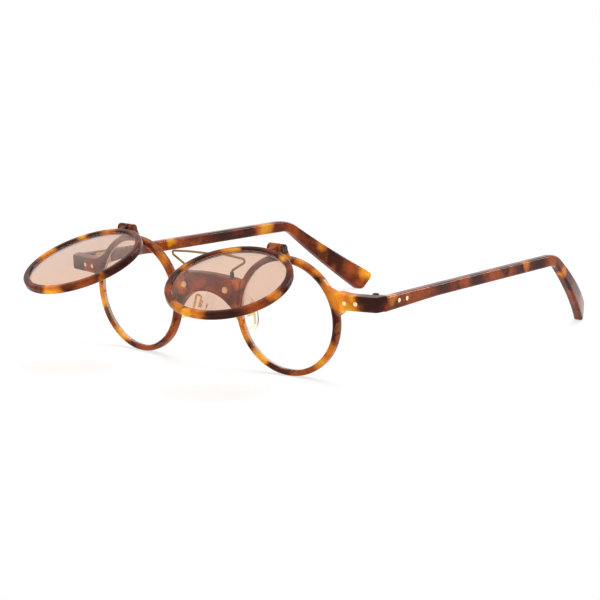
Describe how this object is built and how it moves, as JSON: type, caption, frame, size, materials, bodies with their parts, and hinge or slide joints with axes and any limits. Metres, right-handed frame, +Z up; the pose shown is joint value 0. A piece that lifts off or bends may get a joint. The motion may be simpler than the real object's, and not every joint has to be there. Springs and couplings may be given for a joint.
{
  "type": "flip up sunglasses",
  "caption": "Round acetate spectacles with clear lenses, tinted lens rings that flip up on rim hinges, a brow wire over the bridge, nose pads and folding temples.",
  "frame": {"origin": "on the floor, under the middle of the whole part's outline", "axes": "+X to the wearer's left, +Y backwards along the temples, +Z up"},
  "size_m": [0.1406, 0.2016, 0.0459],
  "materials": {
    "tortoise_acetate": "polished, mottled dark brown, red-brown and amber",
    "clear_lens": "clear, polished",
    "sun_lens": "light pink-brown tint",
    "gold": "polished gold colour",
    "dark_gold": "dark antique gold",
    "hinge_metal": "nickel-plated",
    "dark_screw": "blackened",
    "pad_plastic": "clear soft plastic"
  },
  "bodies": {
    "front": {"front_frame": "tortoise_acetate", "brow_wire": "dark_gold", "left_clear_lens": "clear_lens", "left_flip_screw": "dark_screw", "left_front_hinge_leaf": "hinge_metal", "left_hinge_screw": "dark_screw", "left_end_rivet_inner": "gold", "left_end_rivet_outer": "gold", "left_bridge_rivet": "gold", "left_wire_ferrule": "dark_gold", "left_pad_arm": "gold", "left_pad_screw": "gold", "right_clear_lens": "clear_lens", "right_flip_screw": "dark_screw", "right_front_hinge_leaf": "hinge_metal", "right_hinge_screw": "dark_screw", "right_end_rivet_inner": "gold", "right_end_rivet_outer": "gold", "right_bridge_rivet": "gold", "right_wire_ferrule": "dark_gold", "right_pad_arm": "gold", "right_pad_screw": "gold"},
    "left_temple": {"left_temple": "tortoise_acetate", "left_temple_hinge_leaf": "hinge_metal", "left_temple_rivet_front": "gold", "left_temple_rivet_rear": "gold"},
    "left_flip": {"left_flip_ring": "tortoise_acetate", "left_sun_lens": "sun_lens"},
    "left_pad": {"left_nose_pad": "pad_plastic"},
    "right_temple": {"right_temple": "tortoise_acetate", "right_temple_hinge_leaf": "hinge_metal", "right_temple_rivet_front": "gold", "right_temple_rivet_rear": "gold"},
    "right_flip": {"right_flip_ring": "tortoise_acetate", "right_sun_lens": "sun_lens"},
    "right_pad": {"right_nose_pad": "pad_plastic"}
  },
  "joints": [
    {"name": "left_temple_fold", "type": "hinge", "parent": "front", "child": "left_temple", "pos_m": [0.06416, -0.04321, 0.02807], "axis": [0, 0, 1], "range_deg": [0, 88]},
    {"name": "left_flip_up", "type": "hinge", "parent": "front", "child": "left_flip", "pos_m": [0.03385, -0.0575, 0.04426], "axis": [1, 0, 0], "range_deg": [-20, 73]},
    {"name": "left_pad_rock", "type": "hinge", "parent": "front", "child": "left_pad", "pos_m": [0.01102, -0.04365, 0.01792], "axis": [0.2419, 0.967, 0.0795], "range_deg": [-8, 8]},
    {"name": "right_temple_fold", "type": "hinge", "parent": "front", "child": "right_temple", "pos_m": [-0.06416, -0.04321, 0.02807], "axis": [0, 0, -1], "range_deg": [0, 78]},
    {"name": "right_flip_up", "type": "hinge", "parent": "front", "child": "right_flip", "pos_m": [-0.03385, -0.0575, 0.04426], "axis": [1, 0, 0], "range_deg": [-20, 73]},
    {"name": "right_pad_rock", "type": "hinge", "parent": "front", "child": "right_pad", "pos_m": [-0.01102, -0.04365, 0.01792], "axis": [0.2419, -0.967, -0.0795], "range_deg": [-8, 8]}
  ]
}
